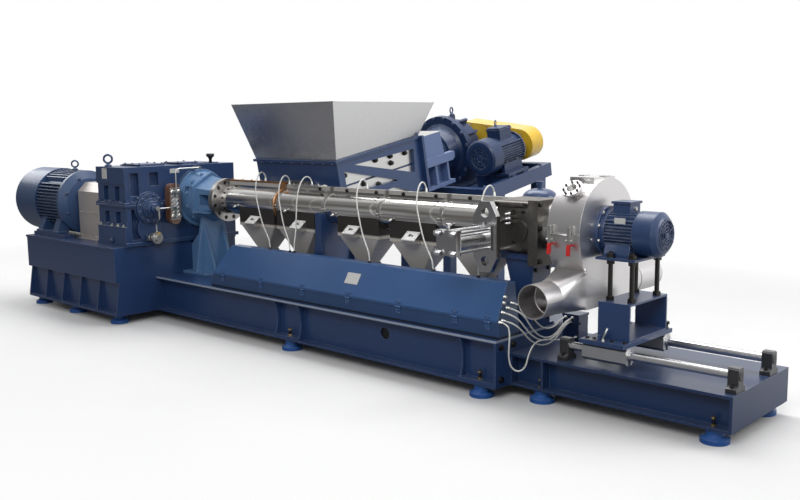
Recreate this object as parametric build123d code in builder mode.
from build123d import *
from math import cos, sin, tan, radians, sqrt
import os

os.makedirs("parts", exist_ok=True)

# Plastic extruder line for pelletising, in millimetres, standing on its levelling feet at Z = 0.
# X runs from the main motor to the pelletiser, Y from the operator's side to the side feeder, Z is up.
# The origin is the middle of the whole line's outline on the floor.

# Heights
foot_height = 78
barrel_axis_z = 1036
drive_depth = 585
bed_depth = 300
pellet_base_depth = 201
drive_top_z = foot_height + drive_depth
bed_top_z = foot_height + bed_depth
pellet_top_z = foot_height + pellet_base_depth

# Lengths along X: the drive base ends where the bed starts, and the pelletiser base follows the bed
drive_length = 1599
motor_overhang = 306
bed_length = 3687
pellet_base_length = 1398
bed_start = (drive_length + motor_overhang - bed_length - pellet_base_length) / 2
bed_end = bed_start + bed_length
pellet_end = bed_end + pellet_base_length
drive_start = bed_start - drive_length
motor_end_x = drive_start - motor_overhang

# Reaches along Y, from the barrel axis
drive_front = 879
drive_rear = 390
bed_front = 477
bed_rear = 450
pellet_front = 332
pellet_rear = 433

# Side feeder: its screw meets the barrel and rises away from it
feeder_tilt = 10.5
feeder_reach = 2640
feeder_base_under = 357
rise = sin(radians(feeder_tilt))
run = cos(radians(feeder_tilt))
axis_y = (drive_front - feeder_reach * run - feeder_base_under * rise) / 2

# Sheet, plate and section thicknesses
plate_t = 20
web_t = 12
sheet_t = 8
running_clearance = 0.4
seat_clearance = 0.3


def block(x, y, z, mode=Mode.ADD):
    """A rectangular solid between two limits on each axis."""
    with Locations(((x[0] + x[1]) / 2, (y[0] + y[1]) / 2, (z[0] + z[1]) / 2)):
        Box(x[1] - x[0], y[1] - y[0], z[1] - z[0], mode=mode)


def round_x(x, y, z, radius, mode=Mode.ADD):
    """A round bar along X between two limits."""
    with Locations(Location(((x[0] + x[1]) / 2, y, z), (0, 90, 0))):
        Cylinder(radius, x[1] - x[0], mode=mode)


def round_y(x, y, z, radius, mode=Mode.ADD):
    """A round bar along Y between two limits."""
    with Locations(Location((x, (y[0] + y[1]) / 2, z), (90, 0, 0))):
        Cylinder(radius, y[1] - y[0], mode=mode)


def round_z(x, y, z, radius, mode=Mode.ADD):
    """A round bar along Z between two limits."""
    with Locations((x, y, (z[0] + z[1]) / 2)):
        Cylinder(radius, z[1] - z[0], mode=mode)


def prism_x(x, points, mode=Mode.ADD):
    """A plate or bar along X whose outline is given by its Y and Z corners."""
    with BuildSketch(Plane.YZ.offset(x[0])) as outline:
        with BuildLine():
            Polyline(*points, close=True)
        make_face()
    extrude(outline.sketch, amount=x[1] - x[0], mode=mode)


def prism_y(y, points, mode=Mode.ADD):
    """A plate or bar along Y whose outline is given by its X and Z corners."""
    with BuildSketch(Plane.XZ.offset(-y[1])) as outline:
        with BuildLine():
            Polyline(*points, close=True)
        make_face()
    extrude(outline.sketch, amount=y[1] - y[0], mode=mode)


def turned_x(y, z, points, mode=Mode.ADD):
    """A turned solid about an axis along X, from its X and radius corners."""
    with BuildSketch(Plane((0, y, z), x_dir=(1, 0, 0), z_dir=(0, -1, 0))) as half:
        with BuildLine():
            Polyline((points[0][0], 0), *points, (points[-1][0], 0), close=True)
        make_face()
    revolve(half.sketch, axis=Axis((0, y, z), (1, 0, 0)), mode=mode)


def finned_body(x, y, z, root, tip, count, fin_t):
    """A round motor body with level fins at the sides and upright ones above and below."""
    with BuildSketch(Plane.YZ.offset(x[0])) as section:
        with Locations((y, z)):
            with GridLocations(0, 2 * 0.6 * tip / (count - 1), 1, count):
                Rectangle(2 * tip, fin_t)
            with GridLocations(2 * 0.6 * tip / (count - 1), 0, count, 1):
                Rectangle(fin_t, 2 * tip)
            Circle(tip, mode=Mode.INTERSECT)
            Circle(root)
    extrude(section.sketch, amount=x[1] - x[0])


def save(piece, name):
    piece.part.label = name
    export_step(piece.part, "parts/" + name + ".step")


# Drive base: a welded box with a deep top rail, its sides stepped in below and ribbed
drive_y = (axis_y - drive_front, axis_y + drive_rear)
drive_x = (drive_start, bed_start)
drive_rail_depth = 298
drive_recess = 60
rib_count = 6
rib_t = 14
rib_lean = 42
drive_lip = 10
drive_rail_z = drive_top_z - drive_rail_depth
drive_flange_z = foot_height + plate_t
drive_inner_y = (drive_y[0] + drive_recess, drive_y[1] - drive_recess)
rib_pitch = (drive_length - rib_t) / (rib_count - 1)
with BuildPart() as drive_base:
    block(drive_x, (drive_y[0] + drive_lip, drive_y[1] - drive_lip), (drive_rail_z, drive_top_z))
    block(drive_x, drive_y, (drive_top_z - plate_t, drive_top_z))
    block(drive_x, drive_inner_y, (foot_height, drive_rail_z))
    block(drive_x, drive_y, (foot_height, drive_flange_z))
    for number in range(rib_count):
        rib_x = drive_start + number * rib_pitch
        for edge, inner, lean in ((drive_y[0], drive_inner_y[0], rib_lean), (drive_y[1], drive_inner_y[1], -rib_lean)):
            prism_x((rib_x, rib_x + rib_t), ((edge, drive_flange_z), (edge + lean, drive_rail_z),
                                             (inner, drive_rail_z), (inner, drive_flange_z)))

# Bed: two beams with outward flanges under a top plate, cross members between them
bed_x = (bed_start, bed_end)
bed_y = (axis_y - bed_front, axis_y + bed_rear)
beam_flange = 150
beam_flange_t = 16
cross_count = 5
stiffener_bow = 34
stiffener_reach = 140
bed_foot_first = 1733
bed_foot_last = 150
web_hole_radius = 42
web_hole_setback = 60
web_hole_bay = 3
end_plate_t = 16
bed_feet_x = (bed_start + bed_foot_first, bed_end - bed_foot_last)
bed_web_y = (bed_y[0] + beam_flange / 2, bed_y[1] - beam_flange / 2)
bed_under_z = bed_top_z - plate_t
cross_pitch = (bed_length - web_t) / (cross_count - 1)
with BuildPart() as bed_frame:
    for web_y in bed_web_y:
        block(bed_x, (web_y - beam_flange / 2, web_y + beam_flange / 2), (foot_height, foot_height + beam_flange_t))
        block(bed_x, (web_y - web_t / 2, web_y + web_t / 2), (foot_height, bed_under_z))
        for foot_x in bed_feet_x:
            block((foot_x - stiffener_reach, foot_x + stiffener_reach),
                  (web_y - beam_flange / 2, web_y + beam_flange / 2), (foot_height, foot_height + 2 * beam_flange_t))
    block(bed_x, bed_y, (bed_under_z, bed_top_z))
    for number in range(cross_count):
        cross_x = bed_start + number * cross_pitch
        block((cross_x, cross_x + web_t), bed_web_y, (foot_height + beam_flange_t, bed_under_z))
    block((bed_end - end_plate_t, bed_end), bed_y, (foot_height, bed_top_z))
    for foot_x in bed_feet_x:
        for bay_x in (foot_x - stiffener_reach, foot_x + stiffener_reach - web_t):
            with BuildSketch(Plane.YZ.offset(bay_x)) as gussets:
                for edge, web_y in ((bed_y[0], bed_web_y[0]), (bed_y[1], bed_web_y[1])):
                    bow = stiffener_bow if web_y > edge else -stiffener_bow
                    with BuildLine():
                        ThreePointArc((edge, foot_height + beam_flange_t), (edge + bow, foot_height + bed_depth / 2),
                                      (edge, bed_under_z))
                        Polyline((edge, bed_under_z), (web_y, bed_under_z), (web_y, foot_height + beam_flange_t),
                                 (edge, foot_height + beam_flange_t))
                    make_face()
            extrude(gussets.sketch, amount=web_t)
    round_y(bed_start + web_hole_bay * cross_pitch - web_hole_setback, (bed_web_y[0] - web_t, bed_web_y[0] + web_t),
            foot_height + 0.62 * bed_depth, web_hole_radius, Mode.SUBTRACT)
save(bed_frame, "bed_frame")

# Pelletiser base: channels facing outwards under a flat top plate, closed by end plates, with a junction box on top
pellet_x = (bed_end, pellet_end)
pellet_y = (axis_y - pellet_front, axis_y + pellet_rear)
channel_flange = 75
channel_flange_t = 14
pellet_top_t = 16
pellet_joint = 224
junction_offset = 58
junction_front = 165
junction_size = (120, 110, 178)
junction_lid = (4, 14)
junction_x = (bed_end + junction_offset, bed_end + junction_offset + junction_size[0])
junction_y = (axis_y + junction_front, axis_y + junction_front + junction_size[1])
junction_top_z = pellet_top_z + junction_size[2]
with BuildPart() as pelletiser_base:
    for inner, outer in ((pellet_y[0] + channel_flange, pellet_y[0]), (pellet_y[1] - channel_flange, pellet_y[1])):
        web = sorted((inner, inner + (web_t if inner > outer else -web_t)))
        flange = sorted((web[0] if inner < outer else web[1], outer))
        block(pellet_x, web, (foot_height, pellet_top_z - pellet_top_t))
        block(pellet_x, flange, (foot_height, foot_height + channel_flange_t))
    block(pellet_x, pellet_y, (pellet_top_z - pellet_top_t, pellet_top_z))
    for plate_x in (bed_end, bed_end + pellet_joint, pellet_end - end_plate_t):
        block((plate_x, plate_x + end_plate_t), pellet_y, (foot_height, pellet_top_z))
    block(junction_x, junction_y, (pellet_top_z, junction_top_z))
    block((junction_x[0] - junction_lid[0], junction_x[1] + junction_lid[0]),
          (junction_y[0] - junction_lid[0], junction_y[1] + junction_lid[0]),
          (junction_top_z - junction_lid[1], junction_top_z))
save(pelletiser_base, "pelletiser_base")

# Levelling feet: a round pad with a raised cup, up against the frame
foot_radius = 78
foot_rim = 26
foot_cup_radius = 50
drive_foot_inset = 100
bed_foot_inset = 60
pellet_foot_inset = 65
drive_feet = (95, 753, 125)
pellet_feet = (199, 115)
foot_places = []
for foot_y in (drive_y[0] + drive_foot_inset, drive_y[1] - drive_foot_inset):
    foot_places.append((drive_start + drive_feet[0], foot_y))
    foot_places.append((drive_start + drive_feet[1], foot_y))
    foot_places.append((bed_start - drive_feet[2], foot_y))
for foot_y in (bed_y[0] + bed_foot_inset, bed_y[1] - bed_foot_inset):
    for foot_x in bed_feet_x:
        foot_places.append((foot_x, foot_y))
for foot_y in (pellet_y[0] + pellet_foot_inset, pellet_y[1] - pellet_foot_inset):
    foot_places.append((bed_end + pellet_feet[0], foot_y))
    foot_places.append((pellet_end - pellet_feet[1], foot_y))
with BuildPart() as levelling_feet:
    with Locations(*[(x, y, 0) for x, y in foot_places]):
        Cylinder(foot_radius, foot_rim, align=(Align.CENTER, Align.CENTER, Align.MIN))
    with Locations(*[(x, y, foot_rim) for x, y in foot_places]):
        Cone(foot_radius - 4, foot_cup_radius, 16, align=(Align.CENTER, Align.CENTER, Align.MIN))
    with Locations(*[(x, y, foot_rim + 16) for x, y in foot_places]):
        Cylinder(foot_cup_radius, foot_height - foot_rim - 16, align=(Align.CENTER, Align.CENTER, Align.MIN))
save(levelling_feet, "levelling_feet")

# Gearbox: a split cast case, its flanges at the split and at the base, with pockets between ribs
gearbox_length = 450
gearbox_overhang = 10
gearbox_front = 740
gearbox_rear = 385
split_z = 1018
gearbox_top_z = 1345
split_flange_t = 18
split_lip = 18
base_flange_depth = 168
pocket_depth = 46
output_boss_radius = 265
input_boss_radius = 140
shaft_offset = 530
shaft_z = 981
gearbox_x = (bed_start + gearbox_overhang - gearbox_length, bed_start + gearbox_overhang)
gearbox_y = (axis_y - gearbox_front, axis_y + gearbox_rear)
shaft_y = axis_y - shaft_offset
flange_x = (gearbox_x[0] - split_lip, gearbox_x[1] + split_lip)
flange_y = (gearbox_y[0] - split_lip, gearbox_y[1] + split_lip)
pocket_low_z = (drive_top_z + 192, split_z - 62)
pocket_high_z = (split_z + 30, split_z + 155)
side_pockets = (92, 274)
side_pocket_length = 84
face_pockets = ((46, 130), (232, 322))


def gearbox_bosses(near, far):
    """The half of both round bosses on the output face that lies on one side of the split."""
    with BuildSketch(Plane.YZ.offset(gearbox_x[1])) as bosses:
        with Locations((axis_y, barrel_axis_z)):
            Circle(output_boss_radius)
        with Locations((shaft_y, shaft_z)):
            Circle(input_boss_radius)
        with Locations((axis_y, (near + far) / 2)):
            Rectangle(3 * gearbox_front, abs(far - near), mode=Mode.INTERSECT)
    extrude(bosses.sketch, amount=split_lip)


with BuildPart() as gearbox_lower:
    block(gearbox_x, gearbox_y, (drive_top_z, split_z))
    block(flange_x, flange_y, (split_z - split_flange_t, split_z))
    block(flange_x, flange_y, (drive_top_z, drive_top_z + 30))
    block((gearbox_x[0], gearbox_x[1]), (flange_y[0], gearbox_y[1]), (drive_top_z, drive_top_z + base_flange_depth))
    for start in side_pockets:
        block((gearbox_x[0] + start, gearbox_x[0] + start + side_pocket_length),
              (gearbox_y[0] - split_lip, gearbox_y[0] + pocket_depth), pocket_low_z, Mode.SUBTRACT)
    for low, high in face_pockets:
        block((gearbox_x[1] - pocket_depth, gearbox_x[1] + 1), (gearbox_y[0] + low, gearbox_y[0] + high),
              (drive_top_z + 52, split_z - split_flange_t - 24), Mode.SUBTRACT)
    round_x((gearbox_x[1] - pocket_depth - 20, gearbox_x[1] + 10), shaft_y, drive_top_z + 140, 112)
    gearbox_bosses(split_z, drive_top_z)
save(gearbox_lower, "gearbox_lower")

cover_plate_t = 10
with BuildPart() as gearbox_upper:
    block(gearbox_x, gearbox_y, (split_z, gearbox_top_z - cover_plate_t))
    block((gearbox_x[0] - 8, gearbox_x[1]), (gearbox_y[0] - 8, gearbox_y[1]),
          (pocket_high_z[1] + 20, gearbox_top_z - cover_plate_t))
    block(flange_x, flange_y, (split_z, split_z + split_flange_t))
    for start in side_pockets:
        block((gearbox_x[0] + start, gearbox_x[0] + start + side_pocket_length),
              (gearbox_y[0] - split_lip, gearbox_y[0] + pocket_depth), pocket_high_z, Mode.SUBTRACT)
    block((gearbox_x[1] - pocket_depth, gearbox_x[1] + 1),
          (gearbox_y[0] + face_pockets[0][0], gearbox_y[0] + face_pockets[0][1]),
          (split_z + 70, gearbox_top_z - 62), Mode.SUBTRACT)
    block((gearbox_x[1] - pocket_depth, gearbox_x[1] + 1),
          (gearbox_y[0] + face_pockets[1][0], gearbox_y[0] + face_pockets[1][1]),
          (split_z + 150, gearbox_top_z - 62), Mode.SUBTRACT)
    gearbox_bosses(split_z, gearbox_top_z)
    for low, high in ((190, 430), (620, 1000)):
        block((gearbox_x[0] + 60, gearbox_x[1] - 60), (gearbox_y[0] + low, gearbox_y[0] + high),
              (gearbox_top_z - cover_plate_t, gearbox_top_z))
save(gearbox_upper, "gearbox_upper")

# Main motor on two slide rails, its shaft towards the gearbox and its fan cowl past the drive base
foot_span = 254
rail_height = 38
rail_width = 92
motor_body_length = 440
motor_cowl_length = 440
motor_radius = 262
motor_tip = 294
cowl_radius = 304
fin_count = 13
fin_t = 8
end_shield = 34
shaft_radius = 60
motor_base_z = drive_top_z + rail_height
motor_x = (motor_end_x + motor_cowl_length, motor_end_x + motor_cowl_length + motor_body_length)
with BuildPart() as motor_rails:
    for side in (-1, 1):
        rail_y = shaft_y + side * foot_span
        block((motor_x[0] - 60, motor_x[1] + 90), (rail_y - rail_width / 2, rail_y + rail_width / 2),
              (drive_top_z, motor_base_z))
        block((motor_x[0] - 30, motor_x[1] + 60), (rail_y - 12, rail_y + 12), (motor_base_z - 16, motor_base_z),
              Mode.SUBTRACT)

with BuildPart() as drive_frame:
    add(drive_base.part)
    add(motor_rails.part)
save(drive_frame, "drive_base")

with BuildPart() as main_motor:
    for start in (motor_x[0] + 20, motor_x[1] - 130):
        for side in (-1, 1):
            prism_x((start, start + 90), ((shaft_y + side * 120, shaft_z - 160), (shaft_y + side * 228, shaft_z - 90),
                                          (shaft_y + side * 306, motor_base_z), (shaft_y + side * 196, motor_base_z)))
    for side in (-1, 1):
        foot_y = shaft_y + side * foot_span
        block((motor_x[0] + 8, motor_x[1] - 20), (foot_y - 52, foot_y + 52), (motor_base_z, motor_base_z + 24))
    block((motor_x[0] + 80, motor_x[0] + 330), (shaft_y + 200, shaft_y + 386), (shaft_z - 70, shaft_z + 130))
    turned_x(shaft_y, shaft_z, ((motor_end_x, cowl_radius - 90), (motor_end_x + 10, cowl_radius - 40),
                                (motor_end_x + 44, cowl_radius), (motor_x[0], cowl_radius)))
    turned_x(shaft_y, shaft_z, ((motor_x[1] - end_shield, motor_tip), (motor_x[1], motor_tip), (motor_x[1] + 34, 220),
                                (motor_x[1] + 52, 120), (motor_x[1] + 70, 116)))
    round_x((motor_x[1] + 70, motor_x[1] + 130), shaft_y, shaft_z, shaft_radius)
    finned_body((motor_x[0], motor_x[1] - end_shield), shaft_y, shaft_z, motor_radius, motor_tip, fin_count, fin_t)
    turned_x(shaft_y, shaft_z, ((motor_end_x - 1, cowl_radius - 104), (motor_end_x + 14, cowl_radius - 104)),
             Mode.SUBTRACT)
save(main_motor, "main_motor")

# Coupling guard: a sheet hood with a chamfered top and a foot flange
guard_half = 132
guard_chamfer = 78
guard_top_z = 1172
guard_x = (motor_x[1] + 75, flange_x[0])
guard_ridge = guard_half - guard_chamfer
with BuildPart() as coupling_guard:
    prism_x(guard_x, ((shaft_y - guard_half, drive_top_z), (shaft_y - guard_half, guard_top_z - guard_chamfer),
                      (shaft_y - guard_ridge, guard_top_z), (shaft_y + guard_ridge, guard_top_z),
                      (shaft_y + guard_half, guard_top_z - guard_chamfer), (shaft_y + guard_half, drive_top_z)))
    block(guard_x, (shaft_y - guard_half - 30, shaft_y + guard_half + 30), (drive_top_z, drive_top_z + 4))
    round_x((guard_x[0] - 1, guard_x[0] + 70), shaft_y, shaft_z, shaft_radius + 20, Mode.SUBTRACT)
    block((guard_x[0] - 1, guard_x[1] - 40), (shaft_y - guard_half + 4, shaft_y + guard_half - 4),
          (drive_top_z - 1, shaft_z + 40), Mode.SUBTRACT)
save(coupling_guard, "coupling_guard")

# Input bearing cover with its stepped hub, and the oil pump on the case below it
cover_start = gearbox_x[1] + split_lip
hub_end = cover_start + 106
with BuildPart() as bearing_cover:
    turned_x(shaft_y, shaft_z, ((cover_start, 130), (cover_start + 22, 130), (cover_start + 26, 88),
                                (cover_start + 46, 84), (cover_start + 48, 64), (cover_start + 72, 60),
                                (cover_start + 74, 44), (hub_end, 38)))
save(bearing_cover, "bearing_cover")

pump_z = drive_top_z + 66
pump_y = shaft_y + 14
pump_radius = 40
with BuildPart() as oil_pump:
    round_x((cover_start, cover_start + 62), pump_y, pump_z, pump_radius)
    round_x((cover_start + 62, cover_start + 86), pump_y, pump_z, pump_radius + 12)
    round_x((cover_start + 86, cover_start + 112), pump_y, pump_z, pump_radius - 12)
    block((cover_start + 8, cover_start + 52), (pump_y - 66, pump_y + 66), (pump_z - 20, pump_z + 20))

# Plate oil cooler: a pack of plates behind a thicker cover plate with rounded ends
cooler_offset = 320
cooler_low_z = 829
cooler_length = 356
cooler_width = 110
cooler_pack = 66
cooler_plate_t = 12
cooler_y = axis_y - cooler_offset
cooler_z = cooler_low_z + cooler_length / 2
with BuildPart() as oil_cooler:
    for start, depth, shrink in ((cover_start, cooler_pack, 6), (cover_start + cooler_pack, cooler_plate_t, 0)):
        with BuildSketch(Plane.YZ.offset(start)) as pack:
            with Locations((cooler_y, cooler_z)):
                SlotOverall(cooler_length - shrink, cooler_width - shrink, rotation=90)
        extrude(pack.sketch, amount=depth)
save(oil_cooler, "oil_cooler")

# Oil pipes: pump to bearing hub, hub to cooler, cooler to the top of the lantern
pipe_radius = 7
pipe_bend = 45
port_x = cover_start + cooler_pack + cooler_plate_t + 22
lantern_port_y = axis_y - 80


def oil_pipe(points, bend):
    """A round tube swept along a route with rounded corners."""
    with BuildLine() as route:
        FilletPolyline(*points, radius=bend)
    with BuildSketch(Plane(route.line @ 0, z_dir=route.line % 0)) as tube:
        Circle(pipe_radius)
    sweep(tube.sketch, path=route.line)


with BuildPart() as oil_pipes:
    add(oil_pump.part)
    oil_pipe(((hub_end + 26, shaft_y + 10, shaft_z), (hub_end + 26, shaft_y + 10, shaft_z - 90),
              (cover_start + 74, pump_y, pump_z + 120), (cover_start + 74, pump_y, pump_z + pump_radius + 12)), pipe_bend * 0.6)
    round_x((hub_end, hub_end + 34), shaft_y, shaft_z, 20)
    oil_pipe(((hub_end + 26, shaft_y + 10, shaft_z), (hub_end + 26, cooler_y - 100, shaft_z),
              (port_x, cooler_y, shaft_z), (port_x, cooler_y, shaft_z - 90)), pipe_bend * 0.6)
    oil_pipe(((port_x, cooler_y, cooler_low_z + cooler_length - 70), (port_x, cooler_y, gearbox_top_z - 36),
              (port_x, lantern_port_y, gearbox_top_z - 36)), pipe_bend)
    for level in (shaft_z - 90, cooler_low_z + cooler_length - 70):
        round_x((cover_start + cooler_pack + cooler_plate_t, port_x), cooler_y, level, 12)
    block((cover_start, port_x), (lantern_port_y, lantern_port_y + 24), (gearbox_top_z - 48, gearbox_top_z - 24))
save(oil_pipes, "oil_pipes")

# Lantern housing: a bell on the gearbox, a six-sided flange and a windowed six-sided body to the barrel
lantern_radius = 232
bell_length = 122
bell_radius = 206
hex_radius = 236
hex_t = 28
body_start_radius = 204
body_end_radius = 168
window_length = 130
window_half = 46
lantern_end = bed_start + 400
bell_x = (cover_start + 24, cover_start + 24 + bell_length)
with BuildPart() as lantern_housing:
    turned_x(axis_y, barrel_axis_z, ((cover_start, lantern_radius + 24), (bell_x[0], lantern_radius + 24),
                                     (bell_x[0] + 6, lantern_radius), (bell_x[1], bell_radius)))
    for start, radius, depth in ((bell_x[1], hex_radius, hex_t), (lantern_end - 14, body_end_radius + 8, 14)):
        with BuildSketch(Plane.YZ.offset(start)) as six_sided:
            with Locations((axis_y, barrel_axis_z)):
                RegularPolygon(radius, 6, rotation=30)
        extrude(six_sided.sketch, amount=depth)
    with BuildSketch(Plane.YZ.offset(bell_x[1] + hex_t)) as wide_end:
        with Locations((axis_y, barrel_axis_z)):
            RegularPolygon(body_start_radius, 6, rotation=30)
    with BuildSketch(Plane.YZ.offset(lantern_end)) as narrow_end:
        with Locations((axis_y, barrel_axis_z)):
            RegularPolygon(body_end_radius, 6, rotation=30)
    loft([wide_end.sketch, narrow_end.sketch], ruled=True)
    window_x = (bell_x[1] + hex_t + 44, bell_x[1] + hex_t + 44 + window_length)
    block(window_x, (axis_y - 2 * hex_radius, axis_y + 2 * hex_radius),
          (barrel_axis_z - window_half, barrel_axis_z + window_half), Mode.SUBTRACT)
    round_x((window_x[0] - 20, window_x[1] + 20), axis_y, barrel_axis_z, 60)
    for pocket_y in (-1, 1):
        block((bell_x[0] + 30, bell_x[0] + 86), (axis_y + pocket_y * 260 - 90, axis_y + pocket_y * 260 + 90),
              (barrel_axis_z + 60, barrel_axis_z + 112), Mode.SUBTRACT)
    block((bell_x[1] + hex_t, lantern_end - 14), (axis_y - 196, axis_y + 196), (barrel_axis_z - 112, barrel_axis_z - 98))

# Lantern foot: an upright under the six-sided flange, braced along the barrel
lantern_foot_half = 190
with BuildPart() as lantern_foot:
    block((bed_start, bed_start + 330), (axis_y - lantern_foot_half - 10, axis_y + lantern_foot_half + 10),
          (bed_top_z, bed_top_z + plate_t))
    prism_x((bell_x[1], bell_x[1] + hex_t), ((axis_y - lantern_foot_half, bed_top_z + plate_t),
                                             (axis_y - 110, barrel_axis_z - hex_radius / 2),
                                             (axis_y + 110, barrel_axis_z - hex_radius / 2),
                                             (axis_y + lantern_foot_half, bed_top_z + plate_t)))
    for side in (-90, 90):
        prism_y((axis_y + side - 8, axis_y + side + 8),
                ((bell_x[1] + hex_t, bed_top_z + plate_t), (bell_x[1] + hex_t, barrel_axis_z - 230),
                 (bed_start + 330, bed_top_z + plate_t + 60), (bed_start + 330, bed_top_z + plate_t)))
        prism_y((axis_y + side - 8, axis_y + side + 8),
                ((bell_x[1], bed_top_z + plate_t), (bell_x[1], drive_top_z + 120),
                 (bed_start, drive_top_z - 40), (bed_start, bed_top_z + plate_t)))
    with BuildSketch(Plane.YZ.offset(bell_x[1] - 1)) as clear_of_flange:
        with Locations((axis_y, barrel_axis_z)):
            RegularPolygon(hex_radius, 6, rotation=30)
    extrude(clear_of_flange.sketch, amount=hex_t + 2, mode=Mode.SUBTRACT)
    add(lantern_housing.part)
save(lantern_foot, "lantern_housing")

# Barrel: a heavy bolted flange and a long bar, inside polished covers held by bands
barrel_radius = 95
barrel_flange_radius = 186
barrel_flange_t = 50
barrel_bolts = 12
cover_radius = 115
cover_wall = 6
band_radius = 118
band_width = 34
strip_height = 50
strip_t = 26
changer_overhang = 84
changer_plate_t = 71
changer_body_length = 250
barrel_end = bed_end + changer_overhang - changer_plate_t - changer_body_length
cover_first = lantern_end + barrel_flange_t
support_offset = 1776
support_x = bed_start + support_offset
zone_count = 3
zone_length = 584
feed_zone_length = 547
band_starts = [cover_first, support_x - band_width / 2 - feed_zone_length]
band_starts += [support_x - band_width / 2 + number * zone_length for number in range(zone_count)]
band_starts += [barrel_end - band_width]
with BuildPart() as barrel:
    round_x((lantern_end, barrel_end), axis_y, barrel_axis_z, barrel_radius)
    round_x((lantern_end, lantern_end + barrel_flange_t), axis_y, barrel_axis_z, barrel_flange_radius)
    with BuildSketch(Plane.YZ.offset(lantern_end + barrel_flange_t)) as bolt_holes:
        with Locations((axis_y, barrel_axis_z)):
            with PolarLocations(barrel_flange_radius - 32, barrel_bolts, 15):
                Circle(17)
    extrude(bolt_holes.sketch, amount=-28, mode=Mode.SUBTRACT)
save(barrel, "barrel")

with BuildPart() as cover_bands:
    for start in band_starts:
        round_x((start, start + band_width), axis_y, barrel_axis_z, band_radius)
        block((start, start + band_width), (axis_y - strip_t / 2 - 4, axis_y + strip_t / 2 + 4),
              (barrel_axis_z + cover_radius - 10, barrel_axis_z + cover_radius + strip_height))
    round_x((cover_first - 1, barrel_end + 1), axis_y, barrel_axis_z, barrel_radius, Mode.SUBTRACT)
save(cover_bands, "cover_bands")

with BuildPart() as barrel_covers:
    for start, end in zip(band_starts[:-1], band_starts[1:]):
        round_x((start + band_width, end), axis_y, barrel_axis_z, cover_radius)
        block((start + band_width, end), (axis_y - strip_t / 2, axis_y + strip_t / 2),
              (barrel_axis_z + cover_radius - cover_wall, barrel_axis_z + cover_radius + strip_height))
    round_x((cover_first, barrel_end), axis_y, barrel_axis_z, cover_radius - cover_wall, Mode.SUBTRACT)
save(barrel_covers, "barrel_covers")

# Copper water pipe: along the top of the first cover, then round the barrel
copper_radius = 9
copper_reach = 740
copper_strip_t = 16
copper_x = (cover_first + band_width, cover_first + band_width + copper_reach)
copper_ring = cover_radius + copper_radius
with BuildPart() as copper_pipe:
    block(copper_x, (axis_y - strip_t / 2, axis_y + strip_t / 2),
          (barrel_axis_z + cover_radius + strip_height, barrel_axis_z + cover_radius + strip_height + copper_strip_t))
    with BuildSketch(Plane((copper_x[1] - 24, axis_y, barrel_axis_z), x_dir=(1, 0, 0), z_dir=(0, 0, 1))) as ring_tube:
        with Locations((0, -copper_ring)):
            Circle(copper_radius)
    revolve(ring_tube.sketch, axis=Axis((0, axis_y, barrel_axis_z), (1, 0, 0)), revolution_arc=-78)
    revolve(ring_tube.sketch, axis=Axis((0, axis_y, barrel_axis_z), (1, 0, 0)), revolution_arc=60)
    block((copper_x[1] - 48, copper_x[1] - 14), (axis_y - strip_t / 2 - 24, axis_y - strip_t / 2),
          (barrel_axis_z + cover_radius + 6, barrel_axis_z + cover_radius + strip_height + copper_strip_t))
save(copper_pipe, "copper_pipe")

# Feed housing: the rounded flange on the barrel's far side, where the side feeder bolts on
feeder_offset_x = 1180
feed_flange_t = 34
feed_flange_size = (430, 370)
feed_neck = 110
feed_x = bed_start + feeder_offset_x
feed_flange_y = (axis_y + cover_radius + 1, axis_y + cover_radius + 1 + feed_flange_t)
with BuildPart() as feed_housing:
    with BuildSketch(Plane.XZ.offset(-feed_flange_y[1])) as flange_shape:
        with Locations((feed_x, barrel_axis_z)):
            RectangleRounded(feed_flange_size[0], feed_flange_size[1], 60)
            with GridLocations(feed_flange_size[0] - 60, feed_flange_size[1] - 60, 2, 2):
                Circle(13, mode=Mode.SUBTRACT)
    extrude(flange_shape.sketch, amount=feed_flange_t)
    block((feed_x - feed_neck, feed_x + feed_neck), (axis_y + cover_radius - 30, feed_flange_y[0]),
          (barrel_axis_z - 38, barrel_axis_z + 90))
    round_x((feed_x - feed_flange_size[0], feed_x + feed_flange_size[0]), axis_y, barrel_axis_z,
            band_radius + seat_clearance, Mode.SUBTRACT)
save(feed_housing, "feed_housing")

# Air cooling: a collar under each zone, a tapering funnel and a round fan on a pedestal
collar_half = 114
collar_top_z = barrel_axis_z - 40
funnel_top_z = 850
funnel_bottom_z = 655
funnel_mouth = 118
fan_radius = 88
fan_depth = 130
first_zone_x = lantern_end + 565
second_zone_x = feed_x + 270
duct_places = [(first_zone_x, 225), (second_zone_x, 225)]
duct_offset = 374
duct_pitch = 540
duct_places += [(support_x + duct_offset + number * duct_pitch, 215) for number in range(zone_count)]
with BuildPart() as cooling_ducts:
    for middle, reach in duct_places:
        block((middle - reach, middle + reach), (axis_y - collar_half, axis_y + collar_half),
              (funnel_top_z, collar_top_z))
        with BuildSketch(Plane.XY.offset(funnel_bottom_z)) as small_end:
            with Locations((middle, axis_y)):
                RectangleRounded(funnel_mouth, funnel_mouth, 12)
        with BuildSketch(Plane.XY.offset(funnel_top_z)) as large_end:
            with Locations((middle, axis_y)):
                RectangleRounded(2 * reach - 16, 2 * collar_half - 8, 12)
        loft([small_end.sketch, large_end.sketch], ruled=True)
    round_x((cover_first, barrel_end), axis_y, barrel_axis_z, band_radius + seat_clearance, Mode.SUBTRACT)
save(cooling_ducts, "cooling_ducts")

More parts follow.
